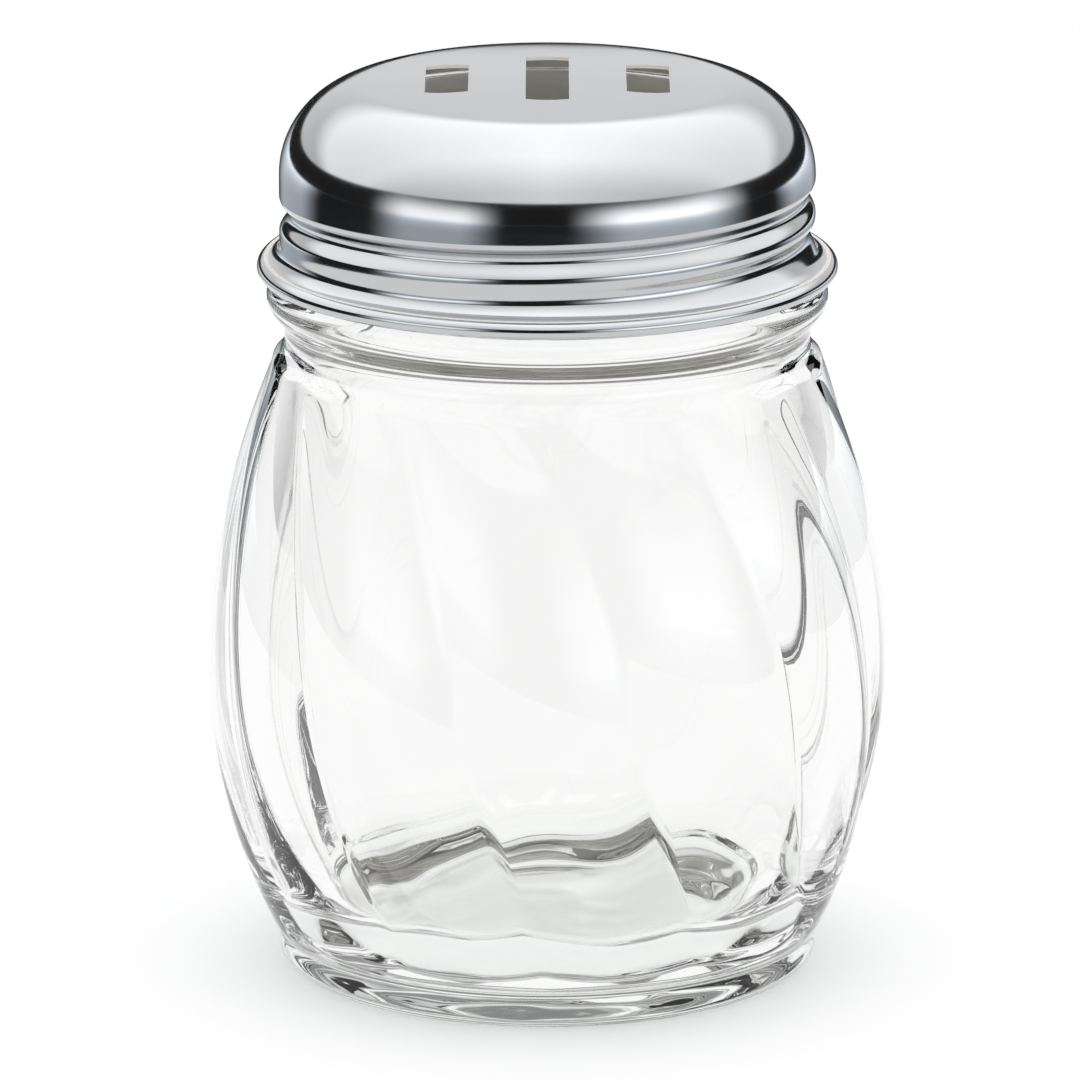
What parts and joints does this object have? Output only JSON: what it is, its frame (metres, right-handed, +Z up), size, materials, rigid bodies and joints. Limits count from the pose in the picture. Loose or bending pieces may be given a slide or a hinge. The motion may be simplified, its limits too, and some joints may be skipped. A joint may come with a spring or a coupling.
{
  "type": "glass shaker with slotted screw lid",
  "caption": "Clear glass shaker jar with swirled lobes and a thick heel, closed by a domed chromed screw lid with straight pouring slots.",
  "frame": {"origin": "middle of the ring that the jar stands on", "axes": "+Z up along the jar's axis; the lid's slots run along Y and lie side by side along X"},
  "size_m": [0.0758, 0.0758, 0.1009],
  "materials": {
    "glass": "clear, polished",
    "chrome": "polished plate"
  },
  "bodies": {
    "jar": {"glass_jar": "glass"},
    "lid": {"slotted_lid": "chrome"}
  },
  "joints": [
    {"name": "lid_lift", "type": "slide", "parent": "jar", "child": "lid", "axis": [0, 0, 1], "range_m": [0, 0.06]}
  ]
}
